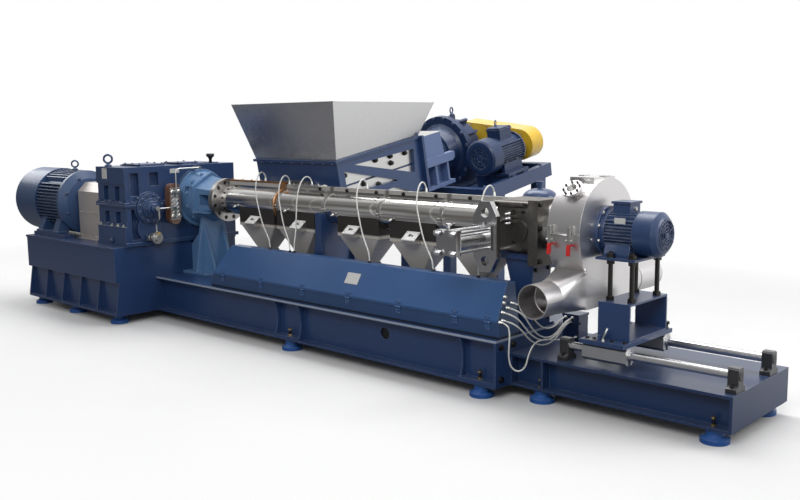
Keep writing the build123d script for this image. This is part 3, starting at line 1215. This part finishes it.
# Pelletiser motor: foot and flange mounted, its flange on the hood and its fan cowl outwards
pellet_flange_radius = 150
pellet_flange_t = 18
pellet_body_length = 205
pellet_cowl_length = 152
pellet_radius = 112
pellet_tip = 126
pellet_cowl_radius = 131
pellet_motor_x = (hood_x[1] + pellet_flange_t, hood_x[1] + pellet_flange_t + pellet_body_length)
pellet_cowl_end = pellet_motor_x[1] + pellet_cowl_length
with BuildPart() as pelletiser_motor:
    turned_x(axis_y, barrel_axis_z, ((hood_x[1], pellet_flange_radius), (pellet_motor_x[0], pellet_flange_radius),
                                     (pellet_motor_x[0], pellet_tip + 4), (pellet_motor_x[0] + 26, pellet_tip + 4)))
    finned_body((pellet_motor_x[0] + 26, pellet_motor_x[1]), axis_y, barrel_axis_z, pellet_radius, pellet_tip, 9, 5)
    block((pellet_motor_x[0] + 48, pellet_motor_x[0] + 158), (axis_y - 58, axis_y + 58),
          (barrel_axis_z + 90, barrel_axis_z + 170))
    block((pellet_motor_x[0] + 40, pellet_motor_x[0] + 166), (axis_y - 68, axis_y + 68),
          (barrel_axis_z + 170, barrel_axis_z + 184))
    for side in (-1, 1):
        prism_x((pellet_motor_x[0] + 30, pellet_motor_x[1] - 14),
                ((axis_y + side * 60, barrel_axis_z - 92), (axis_y + side * 108, barrel_axis_z - 56),
                 (axis_y + side * 128, barrel_axis_z - pellet_motor_drop + 14),
                 (axis_y + side * 128, barrel_axis_z - pellet_motor_drop),
                 (axis_y + side * 60, barrel_axis_z - pellet_motor_drop)))
    turned_x(axis_y, barrel_axis_z, ((pellet_motor_x[1], pellet_cowl_radius), (pellet_cowl_end - 34, pellet_cowl_radius),
                                     (pellet_cowl_end - 10, pellet_cowl_radius - 24), (pellet_cowl_end - 3, 92),
                                     (pellet_cowl_end - 3, 84), (pellet_cowl_end - 12, 80), (pellet_cowl_end - 12, 24),
                                     (pellet_cowl_end, 22)))
save(pelletiser_motor, "pelletiser_motor")

# Cutter: a hub with knives on the motor's shaft, turning just in front of the die face
cutter_gap = 6
cutter_hub_radius = 52
knife_count = 4
with BuildPart() as cutter:
    turned_x(axis_y, barrel_axis_z, ((die_x[1] + cutter_gap + 10, cutter_hub_radius), (die_x[1] + 60, cutter_hub_radius),
                                     (die_x[1] + 70, 32), (hood_x[1], 32)))
    with BuildSketch(Plane.YZ.offset(die_x[1] + cutter_gap + 16)) as knives:
        with Locations((axis_y, barrel_axis_z)):
            with PolarLocations(76, knife_count, 45):
                Rectangle(70, 26)
    extrude(knives.sketch, amount=8)
save(cutter, "cutter")

# Cutting hood: a round sheet drum around the die face, open towards the die and below
hood_radius = 314
die_opening = 170
throat_half = 230
throat_z = barrel_axis_z - sqrt(hood_radius ** 2 - throat_half ** 2)
with BuildPart() as hood_drum:
    round_x(hood_x, axis_y, barrel_axis_z, hood_radius)
    round_x((hood_x[0] + sheet_t, hood_x[1] - sheet_t), axis_y, barrel_axis_z, hood_radius - sheet_t, Mode.SUBTRACT)
    round_x((hood_x[0] - 1, hood_x[0] + sheet_t + 1), axis_y, barrel_axis_z, die_opening, Mode.SUBTRACT)
    round_x((hood_x[1] - sheet_t - 1, hood_x[1] + 1), axis_y, barrel_axis_z, 40, Mode.SUBTRACT)
    block((hood_x[0] + sheet_t, hood_x[1] - sheet_t), (axis_y - throat_half + sheet_t, axis_y + throat_half - sheet_t),
          (barrel_axis_z - hood_radius - 5, throat_z), Mode.SUBTRACT)
    for side in (-1, 1):
        block((hood_x[0] + 4, hood_x[1] - 4), sorted((axis_y + side * (hood_radius - 4), axis_y + side * (hood_radius + 5))),
              (barrel_axis_z - 2, barrel_axis_z + 8))
    block((hood_x[0] + 30, hood_x[1] - 30), (axis_y - 120, axis_y + 120),
          (barrel_axis_z + hood_radius - 30, barrel_axis_z + hood_radius + 6))
    round_x((hood_x[0] + sheet_t, hood_x[1] - sheet_t), axis_y, barrel_axis_z, hood_radius - sheet_t, Mode.SUBTRACT)
save(hood_drum, "hood_drum")

# Hood duct: straight sheet walls below the drum, open to it above and to the spouts at both sides
duct_low_z = 590
with BuildPart() as hood_duct:
    block(hood_x, (axis_y - throat_half, axis_y + throat_half), (duct_low_z, throat_z + 8))
    block((hood_x[0] + sheet_t, hood_x[1] - sheet_t), (axis_y - throat_half - 1, axis_y + throat_half + 1),
          (duct_low_z + sheet_t, throat_z - sheet_t), Mode.SUBTRACT)
    round_x((hood_x[0] - 1, hood_x[1] + 1), axis_y, barrel_axis_z, hood_radius, Mode.SUBTRACT)
save(hood_duct, "hood_duct")

# Spouts: square-to-round pieces on both sides of the duct, each ending in a round tube
spout_z = 684
spout_radius = 100
spout_wall = 6
spout_taper = 226
taper_radius = spout_radius - 3
spout_reach = {-1: 386, 1: 500}
spout_x = (hood_x[0] + hood_x[1]) / 2
duct_height = throat_z - duct_low_z
with BuildPart() as spouts:
    for side, reach in spout_reach.items():
        root_y = axis_y + side * throat_half
        ring_y = root_y + side * spout_taper
        for inset, mode in ((0, Mode.ADD), (spout_wall, Mode.SUBTRACT)):
            with BuildSketch(Plane.XZ.offset(-root_y)) as square_end:
                with Locations((spout_x, duct_low_z + duct_height / 2)):
                    RectangleRounded(hood_depth - 2 * inset, duct_height - 2 * inset, 24)
            with BuildSketch(Plane.XZ.offset(-ring_y)) as round_end:
                with Locations((spout_x, spout_z)):
                    RectangleRounded(2 * (taper_radius - inset), 2 * (taper_radius - inset), taper_radius - inset - 2)
            loft([square_end.sketch, round_end.sketch], mode=mode)
            tube_y = sorted((ring_y, root_y + side * reach))
            round_y(spout_x, (tube_y[0] - (inset > 0), tube_y[1] + (inset > 0)), spout_z, spout_radius - inset, mode)
save(spouts, "spouts")

# Inlet flange on the upper front of the drum, its face square to the drum's radius
inlet_angle = 49
inlet_stand = 24
inlet_flange_t = 12
inlet_radius = 64
inlet_bore = 30
inlet_bolt_circle = 49
inlet_bolt_radius = 4
inlet_out = (0, -cos(radians(inlet_angle)), sin(radians(inlet_angle)))
inlet_plane = Plane(origin=(spout_x, axis_y + hood_radius * inlet_out[1], barrel_axis_z + hood_radius * inlet_out[2]),
                    x_dir=(1, 0, 0), z_dir=inlet_out)
with BuildPart() as inlet_flange:
    with BuildSketch(inlet_plane.offset(-30)) as inlet_pipe:
        Circle(inlet_bore + 8)
    extrude(inlet_pipe.sketch, amount=30 + inlet_stand)
    with BuildSketch(inlet_plane.offset(inlet_stand)) as inlet_ring:
        Circle(inlet_radius)
        with PolarLocations(inlet_bolt_circle, 8):
            Circle(inlet_bolt_radius, mode=Mode.SUBTRACT)
    extrude(inlet_ring.sketch, amount=inlet_flange_t)
    with BuildSketch(inlet_plane.offset(inlet_stand + inlet_flange_t)) as inlet_hollow:
        Circle(inlet_bore)
    extrude(inlet_hollow.sketch, amount=-inlet_stand, mode=Mode.SUBTRACT)
    round_x((hood_x[0] - 1, hood_x[1] + 1), axis_y, barrel_axis_z, hood_radius, Mode.SUBTRACT)
save(inlet_flange, "inlet_flange")

# Toggle clamps across the drum's split line, with separate dipped grips
clamp_insets = (34, 165)
clamp_z = barrel_axis_z
with BuildPart() as toggle_clamps:
    for inset in clamp_insets:
        middle = hood_x[0] + inset
        near = axis_y - hood_radius
        block((middle - 18, middle + 18), (near - 12, near + 24), (clamp_z + 12, clamp_z + 54))
        block((middle - 18, middle + 18), (near - 12, near + 24), (clamp_z - 62, clamp_z - 6))
        block((middle - 9, middle + 9), (near - 30, near - 12), (clamp_z - 54, clamp_z + 48))
        round_x((middle - 22, middle + 22), near - 22, clamp_z - 34, 9)
    round_x((hood_x[0] - 1, hood_x[1] + 1), axis_y, barrel_axis_z, hood_radius, Mode.SUBTRACT)

with BuildPart() as clamp_grips:
    for inset in clamp_insets:
        middle = hood_x[0] + inset
        near = axis_y - hood_radius
        prism_x((middle - 10, middle + 10), ((near - 34, clamp_z - 54), (near - 16, clamp_z - 54),
                                             (near - 24, clamp_z - 118), (near - 40, clamp_z - 118)))
    fillet(clamp_grips.edges().filter_by(Axis.X), 5)
    add(toggle_clamps.part)
save(clamp_grips, "toggle_clamps")

# White sleeved leads and cables: thin round cords whose bends are as wide as their routes allow
cord_radius = 5


def cord_radii(points):
    """The widest bend that each corner of a route has room for."""
    radii = []
    for before, corner, after in zip(points[:-2], points[1:-1], points[2:]):
        inward = Vector(*corner) - Vector(*before)
        outward = Vector(*after) - Vector(*corner)
        half_turn = radians(inward.get_angle(outward)) / 2
        radii.append(0.45 * min(inward.length, outward.length) / tan(half_turn))
    return radii


def cord(name, points):
    """A plain round cord along a route, saved as a piece of its own."""
    radii = cord_radii(points)
    with BuildPart() as sleeve:
        with BuildLine() as route:
            FilletPolyline(*points, radius=radii)
        middle_line = route.wires()[0]
        with BuildSketch(Plane(middle_line @ 0, z_dir=middle_line % 0)) as tube:
            Circle(cord_radius)
        sweep(tube.sketch, path=middle_line)
    save(sleeve, name)
    print(name, "length", round(middle_line.length), "bends", [round(radius) for radius in radii])


def hanging(start, end, sag, steps):
    """Points of a slack cable between two places."""
    route = []
    for step in range(steps + 1):
        share = step / steps
        route.append((start[0] + share * (end[0] - start[0]), start[1] + share * (end[1] - start[1]),
                      start[2] + share * (end[2] - start[2]) - 4 * sag * share * (1 - share)))
    return route


# Leads: up out of the barrel's top strip, over it and down to the trough lid, as shares of each lead's span
lead_inset = 32
lead_y = trough_back_y - lead_inset
strip_top_z = barrel_axis_z + cover_radius + strip_height
lead_shares = ((0, 0, 1), (0, 0, 1.1), (0.05, 0.25, 1.17), (0.12, 0.51, 1.06), (0.2, 0.67, 0.86), (0.36, 0.74, 0.63),
               (0.55, 0.81, 0.39), (0.78, 0.9, 0.24), (1, 1, 0.12), (1, 1, 0))
lead_places = ((960, 1300), (1262, 1540), (1531, 1590), (2143, 2406), (2724, 3000), (3315, 3380))
for number, (first, last) in enumerate(lead_places, 1):
    lead_top_z = strip_top_z + (copper_strip_t if bed_start + first < copper_x[1] else 0)
    cord("lead_%d" % number, [(bed_start + first + along * (last - first), axis_y + out * (lead_y - axis_y),
                               trough_top_z + up * (lead_top_z - trough_top_z)) for along, out, up in lead_shares])

# Cables: out of the trough's end, hanging across to the junction box's front
cable_out = (48, 98)
cable_in = 50
cable_places = ((152, 200, 25, 156, 95), (100, 178, 50, 139, 130), (50, 157, 75, 156, 140), (46, 109, 60, 126, 130))


def cap_x(height):
    """Where a cord at this height above the bed leaves the trough's slanted end."""
    return trough_x[1] - trough_slants[1] * (height - cord_radius) / trough_rise + 0.2


for number, (inset, height, shift, box_height, sag) in enumerate(cable_places, 1):
    gland = (cap_x(height), trough_face_y + inset, bed_top_z + height)
    entry = (junction_x[0] + shift, junction_y[0], pellet_top_z + box_height)
    hung = hanging((gland[0] + cable_out[1], gland[1] + 40, gland[2] - 35), (entry[0], entry[1] - cable_in, entry[2]),
                   sag, 5)
    cord("cable_%d" % number, [gland, (gland[0] + cable_out[0], gland[1], gland[2]), *hung, entry])

# The last cable first hangs down in front of the pelletiser base, then climbs over its edge
loop_gland = (cap_x(102), trough_face_y + 16, bed_top_z + 102)
loop_entry = (junction_x[0] + 100, junction_y[0], pellet_top_z + 33)
loop_hang = ((62, -86, 145), (58, -88, 71), (54, -88, 1), (62, -78, -63), (96, -50, -95), (136, -26, -65), (150, -16, 21),
             (154, 40, 83), (156, 140, 83), (158, 260, 59), (158, 370, 39))
cord("cable_5", [loop_gland, (loop_gland[0] + 60, loop_gland[1], loop_gland[2]),
                 *[(bed_end + along, pellet_y[0] + out, pellet_top_z + up) for along, out, up in loop_hang],
                 (loop_entry[0], loop_entry[1] - 60, loop_entry[2]), loop_entry])
